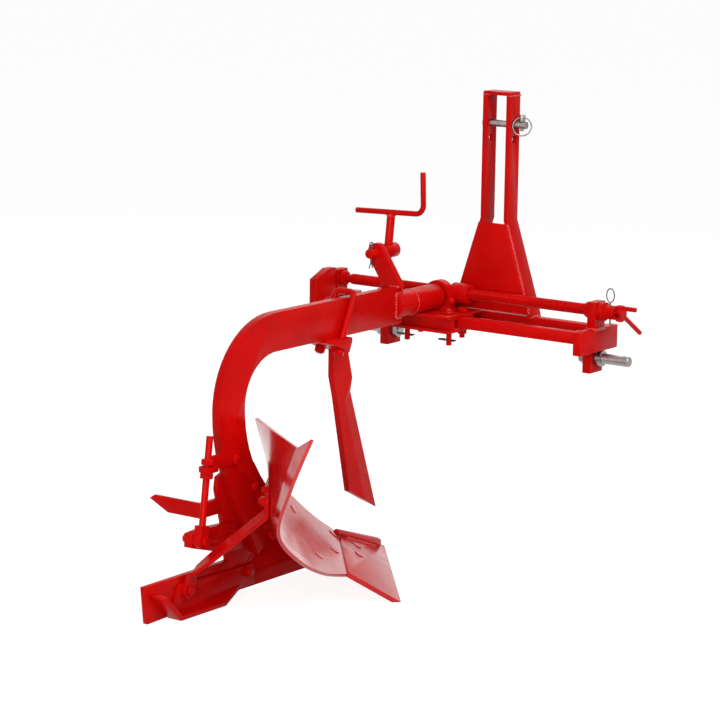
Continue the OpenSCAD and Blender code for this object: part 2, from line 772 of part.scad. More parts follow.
// A round rod along a path in the X-Z plane
module bent_rod(path, d) {
  n = 20;
  last = len(path) - 1;
  rings = [for (k = [0:last])
    let (before = unit(path[max(1, k)] - path[max(0, k - 1)]), after = unit(path[min(last, k + 1)] - path[min(last - 1, k)]),
         along = unit(before + after), side = cross([0, 1, 0], along), wide = 1 / max(0.6, before * along))
    for (i = [0:n - 1]) path[k] + d / 2 * (cos(360 * i / n) * [0, 1, 0] + wide * sin(360 * i / n) * side)];
  skin = [for (k = [0:last - 1]) for (i = [0:n - 1]) let (a = k * n + i, b = k * n + (i + 1) % n) each
    [[a, b, b + n], [a, b + n, a + n]]];
  near = [for (i = [1:n - 2]) [0, i + 1, i]];
  far = [for (i = [1:n - 2]) [last * n, last * n + i, last * n + i + 1]];
  polyhedron(points = rings, faces = concat(skin, near, far), convexity = 8);
}

module coulter_bolts() {
  path = concat(
    [[-ubolt_r, 0, -clamp_low - 14]], bend(bend_in - ubolt_r, ubolt_top, bend_in, 180, 90),
    bend(ubolt_r - bend_in, ubolt_top, bend_in, 90, 0), [[ubolt_r, 0, -clamp_low - 14]]);
  color(paint) ubolt_place() {
    bent_rod(path, ubolt_d);
    for (side = [-1, 1]) translate([side * ubolt_r, 0, -clamp_low - 11.3]) difference() {
      hex(21, 11);
      translate([0, 0, -1]) cylinder(d = ubolt_d + 0.1, h = 13);
    }
  }
}

module coulter_clamp() {
  under = beam_z - beam_depth;
  color(paint) difference() {
    intersection() {
      block(ubolt_x0 - 14, ubolt_x1 + 14, ubolt_y - 74, ubolt_y - 2, under - 40, under);
      ubolt_place() block(-100, 100, -45, 18, -clamp_low, 100);
    }
    ubolt_place() for (side = [-1, 1]) translate([side * ubolt_r, 0, -100]) cylinder(d = ubolt_d + 2 * hole_gap, h = 100);
    block(coulter_x - 0.4, land_x, shank_y0 - 0.4, shank_y1, under - 60, under + 1);
  }
}

module coulter() {
  top = beam_z - 22;
  bend = ground + 398;
  tip = ground + coulter_tip;
  color(paint) side_sheet(coulter_x, coulter_t, [
    [shank_y0, top], [shank_y1, top], [shank_y1, bend + 76], [shank_y1 + 23, bend - 6],
    [shank_y1 + 24, bend - 39], [shank_y1 + 123, tip], [shank_y1 + 17, tip + 53],
    [shank_y0 + 13, bend - 40], [shank_y0, bend + 4]]);
}

module pitch_bracket() {
  x0 = land_x + beam_t;
  color(paint) difference() {
    union() {
      block(x0, x0 + 6, strap_y + 16, strap_bolt_y + 16, strap_z - 7, strap_z + 21);
      block(x0, rod_x + 16, strap_y - 14, strap_y + 16, strap_z - 6, strap_z + 6);
    }
    side_hole(strap_bolt_y, strap_bolt_z, plough_bolt_d + 2 * hole_gap);
    rod_place() translate([0, 0, 80]) cylinder(d = rod_d + 6, h = 120);
  }
}

rod_lean = atan((eye_y - strap_y) / (strap_z - eye_z));

module rod_place() {
  translate([rod_x, eye_y, eye_z]) rotate([rod_lean, 0, 0]) children();
}

module pitch_rod() {
  x0 = land_x + beam_t + 0.4;
  color(paint) difference() {
    union() {
      rod_place() translate([0, 0, 16]) cylinder(d = rod_d, h = 192);
      rod_place() block(x0 - rod_x, 9 - 1, -12, 12, 0, 30);
      translate([x0, eye_y, eye_z]) rod_x_axis(30, rod_x + 8 - x0);
    }
    translate([x0 - 1, eye_y, eye_z]) rod_x_axis(plough_bolt_d + 2 * shaft_gap, 40);
  }
}

module pitch_nuts() {
  reach = (strap_z - eye_z) / cos(rod_lean);
  color(paint) rod_place() for (z = [reach - 8 - 11, reach + 8]) translate([0, 0, z]) difference() {
    hex(24, 11);
    translate([0, 0, -1]) cylinder(d = rod_d + 2 * open_gap, h = 13);
  }
}

module pitch_bolts() {
  x1 = land_x + beam_t;
  color(paint) {
    bolt_x(land_x, strap_bolt_y, strap_bolt_z, plough_bolt_d, beam_t + 6);
  }
}

// A hex bolt along X from x to the right through len, with its head on the right and nut on the left
module bolt_x(x, y, z, d, len) {
  translate([x, y, z]) {
    translate([-d - 1, 0, 0]) rod_x_axis(d, len + d + 1 + eps);
    translate([len, 0, 0]) rotate([0, 90, 0]) hex(1.5 * d, 0.65 * d);
    translate([-0.8 * d, 0, 0]) rotate([0, 90, 0]) hex(1.5 * d, 0.8 * d);
  }
}

frog_x = land_x - frog_t;

// The frog's rear edge leans back as it rises
function frog_rear(z) = -804 + (ground + 230 - z) * 23 / 85;

module frog() {
  color(paint) difference() {
    side_sheet(frog_x, frog_t - seat_gap, [
      [-800, ground + 255], [frog_rear(ground + 230), ground + 230], [frog_rear(ground + 145), ground + 145],
      [land_y1, ground + land_front],
      [land_y1, ground + land_rise], [-330, ground + 8], [-420, ground + 50], [-480, ground + 88],
      [-575, ground + 156], [-643, ground + 203], [-687, ground + 267], [-740, ground + 276]]);
    side_hole(pitch_y, pitch_z, plough_bolt_d + 2 * shaft_gap);
    side_hole(mid_bolt_y, mid_bolt_z, plough_bolt_d + 2 * hole_gap);
    side_hole(low_bolt_y, low_bolt_z, plough_bolt_d + 2 * hole_gap);
  }
}

mid_bolt_y = -656;
mid_bolt_z = ground + 112;
low_bolt_y = -711;
low_bolt_z = ground + 44;

module frog_arm() {
  color(paint) difference() {
    side_sheet(land_x - seat_gap, beam_t, [
      [eye_y - 16, ground + 134], [eye_y - 16, ground + 162], [-866, ground + 165], [-775, ground + 160],
      [-745, ground + 104], [-797, ground + 102]]);
    side_hole(eye_y, eye_z, plough_bolt_d + 2 * hole_gap);
  }
}

module body_bolts() {
  color(paint) {
    bolt_x(frog_x, pitch_y, pitch_z, plough_bolt_d, frog_t + beam_t + 0.4);
    bolt_x(land_x - seat_gap, eye_y, eye_z, plough_bolt_d, beam_t + 18.4 + seat_gap);
    bolt_x(frog_x, mid_bolt_y, mid_bolt_z, plough_bolt_d, frog_t + beam_t + 0.4);
    bolt_x(frog_x, low_bolt_y, low_bolt_z, plough_bolt_d, frog_t - seat_gap + shoe_t);
    bolt_x(frog_x, heel_bolt_y, heel_bolt_z, plough_bolt_d, frog_t - seat_gap + shoe_t + 6);
  }
}

// Share frame: x along the cutting edge from the point, y up the slope, z into the ground side
module share_place() {
  multmatrix([
    [sin(share_angle), -cos(share_angle) * cos(share_slope), -cos(share_angle) * sin(share_slope), tip_x],
    [-cos(share_angle), -sin(share_angle) * cos(share_slope), -sin(share_angle) * sin(share_slope), tip_y],
    [0, sin(share_slope), -cos(share_slope), ground],
    [0, 0, 0, 1]]) children();
}

land_run = 151.5;
share_bolts = [[168, 84], [242, 84]];

module share() {
  color(paint) difference() {
    share_place() linear_extrude(height = share_t)
      polygon([[0, 0], [share_len, 0], [share_len + 21, share_w], [land_run, share_w], [1, 1]]);
    block(-200, 300, -800, -200, ground - 30, ground);
    share_place() for (b = share_bolts) translate([b[0], b[1], 0]) sunk_bolt(share_t + 8, 0.05);
  }
}

module share_seat() {
  color(paint) difference() {
    share_place() translate([0, 0, share_t]) linear_extrude(height = 10)
      polygon([[60, 40], [270, 40], [270, share_w - 4], [100, share_w - 4]]);
    block(frog_x - 60, land_x - seat_gap, -800, -200, ground - 30, ground + 300);
    block(-200, 300, -800, -200, ground - 30, ground + 3);
    share_place() for (b = share_bolts) translate([b[0], b[1], 0]) sunk_bolt(share_t + 30, 0.05);
  }
}

// A plough bolt from the face inwards: countersunk head, then the shank
module sunk_bolt(len, more) {
  head = plough_bolt_d * 0.95 + more;
  translate([0, 0, -0.02]) cylinder(r1 = head, r2 = plough_bolt_d / 2 + more, h = plough_bolt_d * 0.45);
  cylinder(d = plough_bolt_d + 2 * more, h = len);
}

module bar_point() {
  bar_l = 150;
  color(paint) share_place() rotate([0, 0, atan(share_w / land_run)]) translate([38, -27, 0]) rotate([-90, 0, 0])
    linear_extrude(height = 24) polygon([[0, 0], [bar_l, 0], [bar_l, 12], [22, 12]]);
}

// The mouldboard's front and rear edges, as points from the share's top edge upwards
shin_edge = [
  [shin_x, -415, 68], [shin_x, -490, 113], [shin_x, -560, 164], [shin_x, -617, 215],
  [shin_x, -662, 285], [shin_x, -695, board_h]];
tail_edge = [
  [112, -660, 66], [134, -766, 93], [146, -864, 140], [148, -932, 206],
  [190, -951, 300], [tail_out - 97, -935, tail_h]];
board_cols = 8;
board_rows = 12;
board_bow = 12;
ear_at = 7 / 8;
ear_back = 12;
ear_drop = 22;

function knot(p, i) = p[max(0, min(len(p) - 1, i))];
function blend(a, b, c, d, t) =
  (2 * b + (c - a) * t + (2 * a - 5 * b + 4 * c - d) * t * t + (3 * b - a - 3 * c + d) * t * t * t) / 2;
function spline(p, t) =
  let (w = t * (len(p) - 1), i = max(0, min(len(p) - 2, floor(w))))
  blend(knot(p, i - 1), knot(p, i), knot(p, i + 1), knot(p, i + 2), w - i);

// The top edge dips between the shin and the ear, and the ear turns outwards there
function ear(s) = max(0, min(s / ear_at, (1 - s) / (1 - ear_at)));
function face(s, t) =
  let (fold = ear(s) * t * t * t, bow = board_bow * sin(180 * s) * sin(180 * t) + ear_back * fold)
  (1 - s) * spline(shin_edge, t) + s * spline(tail_edge, t)
  + [-bow * cos(share_angle), -bow * sin(share_angle), ground - ear_drop * fold];
function unit(v) = v / norm(v);
function back(s, t) =
  let (e = 0.002)
  unit(cross(face(s + e, t) - face(s - e, t), face(s, t + e) - face(s, t - e)));

// A sheet that follows the mouldboard's face, from depth d0 to depth d1 behind it
module face_sheet(i0, i1, j0, j1, d0, d1) {
  n = i1 - i0 + 1;
  m = j1 - j0 + 1;
  skin = n * m;
  points = [for (d = [d0, d1]) for (j = [j0:j1]) for (i = [i0:i1])
    let (s = i / board_cols, t = j / board_rows) face(s, t) + d * back(s, t)];
  front = [for (j = [0:m - 2]) for (i = [0:n - 2]) let (a = j * n + i) each
    [[a, a + 1, a + n + 1], [a, a + n + 1, a + n]]];
  rear = [for (f = front) [f[2] + skin, f[1] + skin, f[0] + skin]];
  rim = concat(
    [for (i = [0:n - 1]) i], [for (j = [1:m - 1]) j * n + n - 1],
    [for (i = [n - 2:-1:0]) (m - 1) * n + i], [for (j = [m - 2:-1:1]) j * n]);
  r = len(rim);
  edge = [for (k = [0:r - 1]) let (a = rim[k], b = rim[(k + 1) % r]) each
    [[a, a + skin, b], [b, a + skin, b + skin]]];
  polyhedron(points = points, faces = concat(front, rear, edge), convexity = 6);
}

// Puts its children on the mouldboard's face at s, t with z pointing to the back
module on_board(s, t) {
  p = face(s, t);
  z = back(s, t);
  x = unit(cross([0, 0, 1], z));
  y = cross(z, x);
  multmatrix([
    [x[0], y[0], z[0], p[0]], [x[1], y[1], z[1], p[1]], [x[2], y[2], z[2], p[2]], [0, 0, 0, 1]]) children();
}

board_bolts = [[0.5, 0.085], [0.7, 0.21], [0.17, 0.42], [0.19, 0.63]];
brace_spot = [0.6, 0.68];

module mouldboard() {
  color(paint) difference() {
    face_sheet(0, board_cols, 0, board_rows, 0, board_t);
    share_place() block(-50, share_len + 80, -50, share_w + 0.3, -40, 60);
    for (b = board_bolts) on_board(b[0], b[1]) sunk_bolt(board_t + 6, 0.05);
    on_board(brace_spot[0], brace_spot[1]) sunk_bolt(board_t + 6, 0.05);
  }
}

module board_seat() {
  color(paint) difference() {
    union() {
      face_sheet(-1, 2, 3, 8, board_t, board_t + 10);
      face_sheet(-1, 6, 0, 3, board_t, board_t + 10);
    }
    share_place() block(-50, share_len + 80, -50, share_w + 0.3, -40, share_t);
    block(frog_x - 60, land_x - seat_gap, -800, -300, ground, ground + 300);
    for (b = board_bolts) on_board(b[0], b[1]) cylinder(d = plough_bolt_d + 0.1, h = 40);
  }
}

module frog_seats() {
  share_seat();
  board_seat();
}

module plough_bolts() {
  color(paint) {
    for (b = board_bolts) on_board(b[0], b[1]) {
      sunk_bolt(board_t + 22, 0);
      translate([0, 0, board_t + 11]) hex(18, 9);
    }
    on_board(brace_spot[0], brace_spot[1]) {
      sunk_bolt(board_t + 22, 0);
      translate([0, 0, board_t + 8]) hex(18, 9);
    }
    share_place() for (b = share_bolts) translate([b[0], b[1], 0]) {
      sunk_bolt(share_t + 24, 0);
      translate([0, 0, share_t + 10.1]) hex(18, 9);
    }
  }
}

land_y1 = -770;
land_front = 78;
land_rise = 8;

module landside() {
  color(paint) difference() {
    side_sheet(frog_x, frog_t - seat_gap, [
      [-heel_back, ground], [land_y1, ground + land_rise], [land_y1, ground + land_front],
      [-heel_back - 9, ground + landside_h]]);
    side_hole(heel_bolt_y, heel_bolt_z, plough_bolt_d + 2 * hole_gap);
  }
}

heel_bolt_y = -905;
heel_bolt_z = ground + 46;
shoe_t = 6;

runner_w = 35;

// A plate that joins the landside to the frog, and a runner that turns up at the heel
module heel_shoe() {
  x0 = land_x - seat_gap;
  color(paint) difference() {
    union() {
      side_sheet(x0, shoe_t, [
        [-heel_back + 60, ground + 3], [land_y1, ground + land_rise + 1], [-690, ground + 14],
        [-690, ground + 58], [land_y1, ground + 58], [-925, ground + 62], [-940, ground + 40]]);
      intersection() {
        side_sheet(x0, runner_w, [
          [-heel_back + 4, ground + 58], [-heel_back + 61, ground], [-heel_back + 200, ground],
          [-731, ground + 15], [-731, ground + 23], [-heel_back + 200, ground + 9],
          [-heel_back + 66, ground + 9], [-heel_back + 16, ground + 60]]);
        linear_extrude(height = 2000, center = true) polygon([
          [x0, -heel_back], [x0 + runner_w, -heel_back + 18], [x0 + runner_w, -heel_back + 75],
          [x0 + runner_w, -heel_back + 200], [x0 + 4, -731], [x0, -731]]);
      }
    }
    side_hole(heel_bolt_y, heel_bolt_z, plough_bolt_d + 2 * hole_gap);
    side_hole(low_bolt_y, low_bolt_z, plough_bolt_d + 2 * hole_gap);
    block(-200, 0, -1100, -600, ground - 30, ground);
  }
}

brace_w = 32;
brace_t = 6;

// The four corners of the brace's section at p, with its flat faces along n and its length along d
function brace_ring(p, d, n) =
  let (t = unit(n - (n * d) * d), w = cross(d, t))
  [for (c = [[-1, -1], [1, -1], [1, 1], [-1, 1]]) p + c[0] * brace_w / 2 * w + c[1] * brace_t / 2 * t];

// The brace is a flat bar, bent at both ends, twisted between them
module tail_brace() {
  z = back(brace_spot[0], brace_spot[1]);
  x = [1, 0, 0];
  far = face(brace_spot[0], brace_spot[1]) + (board_t + 4.5) * z;
  near = [land_x - seat_gap + shoe_t + brace_t / 2, heel_bolt_y, heel_bolt_z];
  run = unit(far - near);
  near_flat = unit(run - (run * x) * x);
  far_flat = unit(run - (run * z) * z);
  rings = concat(
    brace_ring(near - 18 * near_flat, near_flat, x),
    brace_ring(near + 24 * near_flat, unit(near_flat + run), x),
    brace_ring(near + 24 * near_flat + 60 * run, run, unit(x - 0.4 * z)),
    brace_ring(far - 28 * far_flat - 40 * run, run, z),
    brace_ring(far - 28 * far_flat, unit(far_flat + run), z),
    brace_ring(far + 18 * far_flat, far_flat, z));
  last = len(rings) - 4;
  sides = [for (k = [0:4:last - 4]) for (c = [0:3]) let (a = k + c, b = k + (c + 1) % 4) each
    [[a, b, b + 4], [a, b + 4, a + 4]]];
  ends = [[2, 1, 0], [3, 2, 0], [last, last + 1, last + 2], [last, last + 2, last + 3]];
  color(paint) difference() {
    polyhedron(points = rings, faces = [for (f = concat(sides, ends)) [f[2], f[1], f[0]]]);
    side_hole(heel_bolt_y, heel_bolt_z, plough_bolt_d + 2 * hole_gap);
    on_board(brace_spot[0], brace_spot[1]) cylinder(d = plough_bolt_d + 2 * hole_gap, h = 40);
  }
}

module depth_skid() {
  y1 = -848;
  z0 = ground + skid_height + 16;
  z1 = z0 + 31;
  color(paint) union() {
    front_sheet(y1 - 8, 8, [
      [land_x - seat_gap, z1], [frog_x - skid_reach + 48, z1], [frog_x - skid_reach + 36, z1 - 8],
      [frog_x - skid_reach + 84, z0], [land_x - seat_gap, z0]]);
    side_sheet(frog_x, frog_t - seat_gap, [
      [y1 - 4, z0], [frog_rear(z0), z0], [frog_rear(z1), z1], [y1 - 4, z1]]);
  }
}

front_cross_bar();
rear_cross_bar();
right_end_plate();
left_end_plate();
right_bearing_plate();
left_bearing_plate();
right_drop_plate();
left_drop_plate();
lower_link_pins();
lower_link_nuts();
mast_left_bar();
mast_right_bar();
mast_top_strap();
mast_gusset();
top_link_pin();
lynch_pin();
lynch_ring();
cross_screw();
screw_collars();
screw_hub();
tommy_bar();
screw_split_pins();
carriage_top_plate();
carriage_bottom_plate();
carriage_spacers();
carriage_pins();
carriage_clips();
carriage_bolts();
nut_boss();
pivot_lug();
pivot_shaft();
pivot_bolt();
lower_swivel_lug();
lower_swivel();
crank_spindle();
crank_handle();
trunnion_block();
trunnion_split_pin();
beam();
swivel_tube();
crank_arm();
coulter_bolts();
coulter_clamp();
coulter();
pitch_bracket();
pitch_bolts();
pitch_rod();
pitch_nuts();
frog();
frog_arm();
body_bolts();
share();
bar_point();
mouldboard();
frog_seats();
landside();
heel_shoe();
tail_brace();
plough_bolts();
depth_skid();
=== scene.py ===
"""Looks of the single furrow plough: paint, steel, the board, the thread, weld beads, light and camera."""
import json
import math

import bmesh
import bpy
from mathutils import Matrix, Vector


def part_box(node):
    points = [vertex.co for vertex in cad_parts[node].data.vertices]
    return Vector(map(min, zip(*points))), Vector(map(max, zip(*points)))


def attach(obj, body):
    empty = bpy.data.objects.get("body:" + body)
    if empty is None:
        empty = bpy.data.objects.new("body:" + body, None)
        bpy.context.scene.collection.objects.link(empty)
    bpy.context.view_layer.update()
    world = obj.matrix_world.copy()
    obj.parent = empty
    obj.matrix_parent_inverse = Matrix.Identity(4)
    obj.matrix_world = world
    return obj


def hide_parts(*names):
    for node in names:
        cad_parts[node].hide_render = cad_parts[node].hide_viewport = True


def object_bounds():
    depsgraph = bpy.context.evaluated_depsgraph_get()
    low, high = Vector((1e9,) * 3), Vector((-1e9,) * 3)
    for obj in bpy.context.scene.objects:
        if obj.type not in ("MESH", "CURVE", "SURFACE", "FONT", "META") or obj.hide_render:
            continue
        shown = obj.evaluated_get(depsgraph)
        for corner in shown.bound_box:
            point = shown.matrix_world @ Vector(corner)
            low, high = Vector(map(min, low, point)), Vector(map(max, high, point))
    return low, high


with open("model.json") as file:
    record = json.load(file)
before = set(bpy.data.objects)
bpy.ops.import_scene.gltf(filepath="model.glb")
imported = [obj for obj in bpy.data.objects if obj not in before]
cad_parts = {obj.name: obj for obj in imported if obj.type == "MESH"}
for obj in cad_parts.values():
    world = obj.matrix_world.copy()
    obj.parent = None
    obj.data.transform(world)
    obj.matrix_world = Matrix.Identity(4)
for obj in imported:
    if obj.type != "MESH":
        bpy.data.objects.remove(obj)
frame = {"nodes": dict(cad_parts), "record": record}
cad_low, cad_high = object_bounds()
NODES = frame["nodes"]
RECORD = frame["record"]
SLOT_OF = {part["node"]: part["material_slot"] for part in RECORD["subparts"]}
BODY_OF = {n: b for b, names in RECORD["behaviour"]["bodies"].items() for n in names}

# New shapes are worked out in millimetres and scaled by this when they become meshes
MM = 0.001
GROUND = -430.0
SHARP = math.radians(32)
RIGHT = Vector((1, 0, 0))
FORWARD = Vector((0, 1, 0))
UP = Vector((0, 0, 1))


def box_mm(node):
    return [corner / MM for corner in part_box(node)]


# Materials, all procedural


def new_material(name):
    mat = bpy.data.materials.new(name)
    mat.use_nodes = True
    tree = mat.node_tree
    place = tree.nodes.new("ShaderNodeTexCoord").outputs["Object"]
    return mat, tree, tree.nodes["Principled BSDF"], place


def noise(tree, place, scale, detail):
    node = tree.nodes.new("ShaderNodeTexNoise")
    node.inputs["Scale"].default_value = scale
    node.inputs["Detail"].default_value = detail
    tree.links.new(place, node.inputs["Vector"])
    return node.outputs["Fac"]


def spread(tree, value, low, high):
    """Stretches the middle of a noise over the range from low to high."""
    node = tree.nodes.new("ShaderNodeMapRange")
    node.inputs["From Min"].default_value = 0.3
    node.inputs["From Max"].default_value = 0.7
    node.inputs["To Min"].default_value = low
    node.inputs["To Max"].default_value = high
    tree.links.new(value, node.inputs["Value"])
    return node.outputs["Result"]


def tint(tree, value, dark, light):
    """A colour that wanders from dark to light with a noise."""
    node = tree.nodes.new("ShaderNodeMix")
    node.data_type = "RGBA"
    node.inputs["A"].default_value = (*dark, 1)
    node.inputs["B"].default_value = (*light, 1)
    tree.links.new(spread(tree, value, 0, 1), node.inputs["Factor"])
    return node.outputs["Result"]


def bump(tree, shader, value, strength, distance, after=None):
    node = tree.nodes.new("ShaderNodeBump")
    node.inputs["Strength"].default_value = strength
    node.inputs["Distance"].default_value = distance
    tree.links.new(value, node.inputs["Height"])
    if after:
        tree.links.new(after, node.inputs["Normal"])
    tree.links.new(node.outputs["Normal"], shader.inputs["Normal"])
    return node.outputs["Normal"]


def enamel(name, red, rough=(0.24, 0.38), peel=0.10, gloss_level=0.07, coat=0.0):
    """Sprayed glossy paint: slight cloudiness, orange peel, uneven gloss."""
    mat, tree, shader, place = new_material(name)
    dark = tuple(c * 0.86 for c in red)
    light = tuple(c * 1.10 for c in red)
    clouds = noise(tree, place, scale=9, detail=4)
    tree.links.new(tint(tree, clouds, dark, light), shader.inputs["Base Color"])
    gloss = noise(tree, place, scale=26, detail=5)
    tree.links.new(spread(tree, gloss, *rough), shader.inputs["Roughness"])
    dents = bump(tree, shader, noise(tree, place, scale=60, detail=2), strength=0.10, distance=0.002)
    bump(tree, shader, noise(tree, place, scale=620, detail=2), strength=peel, distance=0.0006, after=dents)
    shader.inputs["Specular IOR Level"].default_value = gloss_level
    shader.inputs["Coat Weight"].default_value = coat
    shader.inputs["Coat Roughness"].default_value = 0.10
    return mat


def steel(name, base, rough, turned=True, metallic=1.0):
    """Bare steel with faint stains; where it is turned, with fine rings round the X axis."""
    mat, tree, shader, place = new_material(name)
    dark = tuple(c * 0.78 for c in base)
    stains = noise(tree, place, scale=40, detail=5)
    tree.links.new(tint(tree, stains, dark, base), shader.inputs["Base Color"])
    gloss = noise(tree, place, scale=90, detail=4)
    tree.links.new(spread(tree, gloss, rough * 0.8, rough * 1.3), shader.inputs["Roughness"])
    shader.inputs["Metallic"].default_value = metallic
    if turned:
        stretch = tree.nodes.new("ShaderNodeMapping")
        stretch.inputs["Scale"].default_value = (1400, 30, 30)
        tree.links.new(place, stretch.inputs["Vector"])
        rings = noise(tree, stretch.outputs["Vector"], scale=1, detail=2)
        bump(tree, shader, rings, strength=0.16, distance=0.0002)
    else:
        grain = noise(tree, place, scale=700, detail=3)
        bump(tree, shader, grain, strength=0.12, distance=0.0002)
    return mat


FRAME_RED = (0.62, 0.003, 0.002)
SHARE_RED = (0.58, 0.008, 0.010)
BOARD_RED = (0.59, 0.008, 0.010)
MATERIALS = {
    "red_frame": enamel("red_frame", FRAME_RED),
    "red_share": enamel("red_share", SHARE_RED, rough=(0.16, 0.26), peel=0.05, gloss_level=0.3),
    "red_board": enamel("red_board", BOARD_RED, rough=(0.12, 0.20), peel=0.04, gloss_level=0.5, coat=0.2),
    "bright_steel": steel("bright_steel", (0.33, 0.31, 0.30), rough=0.26),
    "ground_steel": steel("ground_steel", (0.28, 0.27, 0.26), rough=0.34, turned=False),
    "spring_wire": steel("spring_wire", (0.10, 0.07, 0.07), rough=0.42, turned=False, metallic=0.7),
}
# The beads share the frame's slot, but their paint is thicker and shines more
BEAD_PAINT = enamel("bead_paint", FRAME_RED, rough=(0.14, 0.24), peel=0.06, gloss_level=0.35, coat=0.2)


# Pieces and their meshes


def add_piece(name, mesh, slot, body, *nodes, paint=None, sharp=SHARP):
    """Makes a mesh a piece that rides on a body, in place of the CAD nodes named, if any."""
    obj = bpy.data.objects.new(name, mesh)
    bpy.context.scene.collection.objects.link(obj)
    mesh.shade_smooth()
    mesh.set_sharp_from_angle(angle=sharp)
    mesh.materials.append(paint or MATERIALS[slot])
    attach(obj, body)
    if nodes:
        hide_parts(*nodes)


def stand_in(name, mesh, node, sharp=SHARP):
    """A finer piece in place of one CAD node, with that node's slot and body."""
    add_piece(name, mesh, SLOT_OF[node], BODY_OF[node], node, sharp=sharp)


def round_edges(bm, width):
    limit = math.radians(30)
    edges = [e for e in bm.edges if len(e.link_faces) == 2 and e.calc_face_angle(0) > limit]
    bmesh.ops.bevel(bm, geom=edges, offset=width * MM, offset_type="OFFSET", segments=2,
                    profile=0.5, affect="EDGES", clamp_overlap=True)


def mesh_from(name, bm):
    mesh = bpy.data.meshes.new(name)
    bm.to_mesh(mesh)
    bm.free()
    return mesh


def joined(name, meshes, edge_width=0.0):
    """One mesh from closed ones, with normals that face out and, if asked, rounded edges."""
    bm = bmesh.new()
    for mesh in meshes:
        bm.from_mesh(mesh)
    bmesh.ops.recalc_face_normals(bm, faces=bm.faces)
    if edge_width:
        round_edges(bm, edge_width)
    return mesh_from(name, bm)


def rounded(node, width):
    """A copy of a CAD node with rounded edges, as ground and painted steel has them."""
    nearly_flat = math.radians(0.5)
    bm = bmesh.new()
    bm.from_mesh(NODES[node].data)
    bmesh.ops.remove_doubles(bm, verts=bm.verts, dist=1e-6)
    bmesh.ops.dissolve_limit(bm, angle_limit=nearly_flat, verts=bm.verts, edges=bm.edges)
    round_edges(bm, width)
    name = node + "_rounded"
    stand_in(name, mesh_from(name, bm), node)


def plain_mesh(name, points, faces):
    mesh = bpy.data.meshes.new(name)
    mesh.from_pydata([tuple(p * MM) for p in points], [], faces)
    mesh.update()
    return mesh


def loft(name, rings):
    """A skin over rings of points, with a flat cap on each end."""
    count = len(rings[0])
    last = (len(rings) - 1) * count
    faces = []
    for start in range(0, last, count):
        for i in range(count):
            after = (i + 1) % count
            faces.append((start + i, start + after, start + count + after, start + count + i))
    faces.append(tuple(reversed(range(count))))
    faces.append(tuple(range(last, last + count)))
    return plain_mesh(name, [p for ring in rings for p in ring], faces)


def ring_of(centre, side, up, radius, count):
    """Points round a centre; the radius is a number or a function of the angle."""
    points = []
    for k in range(count):
        a = 2 * math.pi * k / count
        r = radius(a) if callable(radius) else radius
        points.append(centre + side * (r * math.cos(a)) + up * (r * math.sin(a)))
    return points


def resample(points, step):
    """Points at an even spacing along a polyline."""
    lengths = [0.0]
    for p, q in zip(points, points[1:]):
        lengths.append(lengths[-1] + (q - p).length)
    count = max(2, int(lengths[-1] / step) + 1)
    result = []
    k = 0
    for i in range(count):
        want = lengths[-1] * i / (count - 1)
        while k < len(points) - 2 and lengths[k + 1] < want:
            k += 1
        part = (want - lengths[k]) / max(1e-6, lengths[k + 1] - lengths[k])
        result.append(points[k].lerp(points[k + 1], min(1, part)))
    return result


def sweep(name, points, radius, sides):
    """A round section along points; the radius is a number or a function of distance and angle."""
    rings = []
    side = None
    run = 0.0
    last = len(points) - 1
    for k, point in enumerate(points):
        ahead = (points[min(last, k + 1)] - points[max(0, k - 1)]).normalized()
        if side is None:
            side = ahead.orthogonal().normalized()
        side = (side - ahead * side.dot(ahead)).normalized()
        if k:
            run += (point - points[k - 1]).length
        section = (lambda a: radius(run, a)) if callable(radius) else radius
        rings.append(ring_of(point, side, ahead.cross(side), section, sides))
    return loft(name, rings)


# The cross screw: a right-hand thread between two plain journals

SCREW_AXIS = Vector((0, -24, 106))
THREAD_PITCH = 4.0


def cross_screw_thread():
    start, stop = -357.0, 262.7
    crest, root, journal = 12.0, 10.2, 9.0
    chamfer, neck = 1.0, 1.2
    # Parts of half a pitch that are the root's flat and the flank; the rest is the crest
    root_part, flank_part = 0.25, 0.35
    steps_per_turn, sides = 8, 28
    low, high = box_mm("cross_screw")

    def ring(x, radius):
        return ring_of(SCREW_AXIS + RIGHT * x, FORWARD, UP, radius, sides)

    def thread(x):
        def radius(a):
            phase = (x / THREAD_PITCH - a / (2 * math.pi)) % 1.0
            from_root = min(phase, 1 - phase) * 2
            height = min(1.0, max(0.0, (from_root - root_part) / flank_part))
            run_out = min(1.0, (x - start) / THREAD_PITCH, (stop - x) / THREAD_PITCH)
            return root + (crest - root) * height * max(0.0, run_out)
        return radius

    rings = [ring(low.x, journal - chamfer), ring(low.x + chamfer, journal), ring(start - neck, journal)]
    count = int((stop - start) / THREAD_PITCH * steps_per_turn)
    for k in range(count + 1):
        x = start + (stop - start) * k / count
        rings.append(ring(x, thread(x)))
    rings += [ring(stop + neck, journal), ring(high.x - chamfer, journal), ring(high.x, journal - chamfer)]
    stand_in("cross_screw_thread", loft("thread", rings), "cross_screw")


# The share and the mouldboard: the same edges and the same blend as in the part's source

SHARE_ANGLE = math.radians(40)
SHARE_SLOPE = math.radians(32)
SHARE_TIP = Vector((-109, -229, GROUND))
# The share's width up its slope, and how far its land edge runs along the cutting edge over that width
SHARE_WIDTH = 128.0
LAND_RUN = 151.5
# The board's front and rear edges from the foot up, with heights above the ground
SHIN = [(-95, -415, 68), (-95, -490, 113), (-95, -560, 164),
        (-95, -617, 215), (-95, -662, 285), (-95, -695, 362)]
TAIL = [(112, -660, 66), (134, -766, 93), (146, -864, 140),
        (148, -932, 206), (190, -951, 300), (228, -935, 402)]
